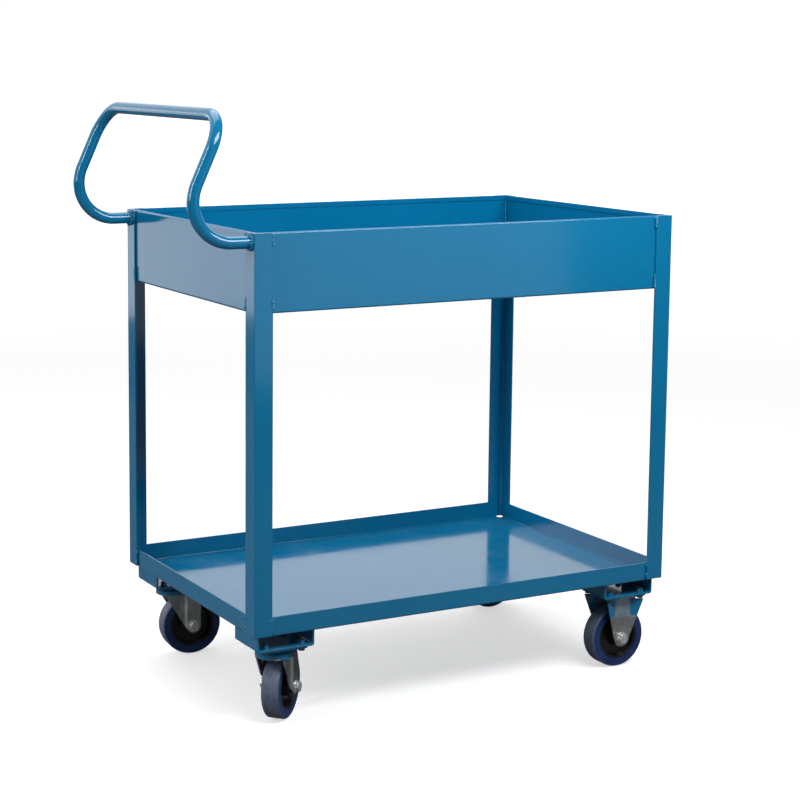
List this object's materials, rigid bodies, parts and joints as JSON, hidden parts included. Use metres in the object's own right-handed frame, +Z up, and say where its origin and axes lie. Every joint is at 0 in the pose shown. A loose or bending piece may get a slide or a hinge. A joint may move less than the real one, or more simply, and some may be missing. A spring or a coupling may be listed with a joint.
{
  "type": "platform trolley",
  "caption": "Two-tier platform trolley: angle-iron frame with a deep sheet-metal tray over a lipped shelf, a bent tube push handle, and swivel and rigid casters with blue rubber tyres.",
  "frame": {"origin": "centre of the bounding box in plan, on the floor", "axes": "+Z up; +X from the push handle to the front; +Y to the left of someone pushing"},
  "size_m": [1.1325, 0.645, 1.2445],
  "materials": {
    "blue_paint": "glossy deep blue powder coat over welded steel",
    "zinc_plated_steel": "bright zinc-plated pressed steel, slightly dull",
    "fastener_steel": "zinc-plated bolts, nuts and washers",
    "bearing_steel": "ground and greased steel",
    "blue_rubber": "matt navy-blue elastic rubber, greyer on the tread",
    "black_nylon": "moulded black nylon"
  },
  "bodies": {
    "frame": {"axle_bolt_front_left": "fastener_steel", "axle_bolt_front_right": "fastener_steel", "axle_nut_front_left": "fastener_steel", "axle_nut_front_right": "fastener_steel", "axle_sleeve_front_left": "bearing_steel", "axle_sleeve_front_right": "bearing_steel", "caster_bracket_front_left": "blue_paint", "caster_bracket_front_right": "blue_paint", "caster_bracket_rear_left": "blue_paint", "caster_bracket_rear_right": "blue_paint", "caster_top_plate_rear_left": "blue_paint", "caster_top_plate_rear_right": "blue_paint", "dust_ring_rear_left": "blue_paint", "dust_ring_rear_right": "blue_paint", "king_bolt_rear_left": "fastener_steel", "king_bolt_rear_right": "fastener_steel", "king_nut_rear_left": "fastener_steel", "king_nut_rear_right": "fastener_steel", "lower_shelf": "blue_paint", "plate_bolts_front_left": "fastener_steel", "plate_bolts_front_right": "fastener_steel", "plate_bolts_rear_left": "fastener_steel", "plate_bolts_rear_right": "fastener_steel", "plate_nuts_front_left": "fastener_steel", "plate_nuts_front_right": "fastener_steel", "plate_nuts_rear_left": "fastener_steel", "plate_nuts_rear_right": "fastener_steel", "post_front_left": "blue_paint", "post_front_right": "blue_paint", "post_rear_left": "blue_paint", "post_rear_right": "blue_paint", "push_handle": "blue_paint", "rigid_fork_front_left": "zinc_plated_steel", "rigid_fork_front_right": "zinc_plated_steel", "swivel_balls_rear_left": "bearing_steel", "swivel_balls_rear_right": "bearing_steel", "upper_tray": "blue_paint"},
    "wheel_front_left": {"roller_bearing_front_left": "bearing_steel", "tyre_front_left": "blue_rubber", "wheel_hub_front_left": "black_nylon"},
    "wheel_front_right": {"roller_bearing_front_right": "bearing_steel", "tyre_front_right": "blue_rubber", "wheel_hub_front_right": "black_nylon"},
    "fork_rear_left": {"axle_bolt_rear_left": "fastener_steel", "axle_nut_rear_left": "fastener_steel", "axle_sleeve_rear_left": "bearing_steel", "swivel_fork_rear_left": "zinc_plated_steel"},
    "wheel_rear_left": {"roller_bearing_rear_left": "bearing_steel", "tyre_rear_left": "blue_rubber", "wheel_hub_rear_left": "black_nylon"},
    "fork_rear_right": {"axle_bolt_rear_right": "fastener_steel", "axle_nut_rear_right": "fastener_steel", "axle_sleeve_rear_right": "bearing_steel", "swivel_fork_rear_right": "zinc_plated_steel"},
    "wheel_rear_right": {"roller_bearing_rear_right": "bearing_steel", "tyre_rear_right": "blue_rubber", "wheel_hub_rear_right": "black_nylon"}
  },
  "joints": [
    {"name": "roll_front_left", "type": "hinge", "parent": "frame", "child": "wheel_front_left", "pos_m": [0.48775, 0.255, 0.068], "axis": [0, 1, 0], "continuous": true},
    {"name": "roll_front_right", "type": "hinge", "parent": "frame", "child": "wheel_front_right", "pos_m": [0.48775, -0.255, 0.068], "axis": [0, 1, 0], "continuous": true},
    {"name": "swivel_rear_left", "type": "hinge", "parent": "frame", "child": "fork_rear_left", "pos_m": [-0.35525, 0.255, 0.1545], "axis": [0, 0, 1], "continuous": true},
    {"name": "roll_rear_left", "type": "hinge", "parent": "fork_rear_left", "child": "wheel_rear_left", "pos_m": [-0.31845, 0.25113, 0.068], "axis": [0.1045, 0.9945, 0], "continuous": true},
    {"name": "swivel_rear_right", "type": "hinge", "parent": "frame", "child": "fork_rear_right", "pos_m": [-0.35525, -0.255, 0.1545], "axis": [0, 0, 1], "continuous": true},
    {"name": "roll_rear_right", "type": "hinge", "parent": "fork_rear_right", "child": "wheel_rear_right", "pos_m": [-0.32819, -0.22977, 0.068], "axis": [-0.682, 0.7314, 0], "continuous": true}
  ]
}
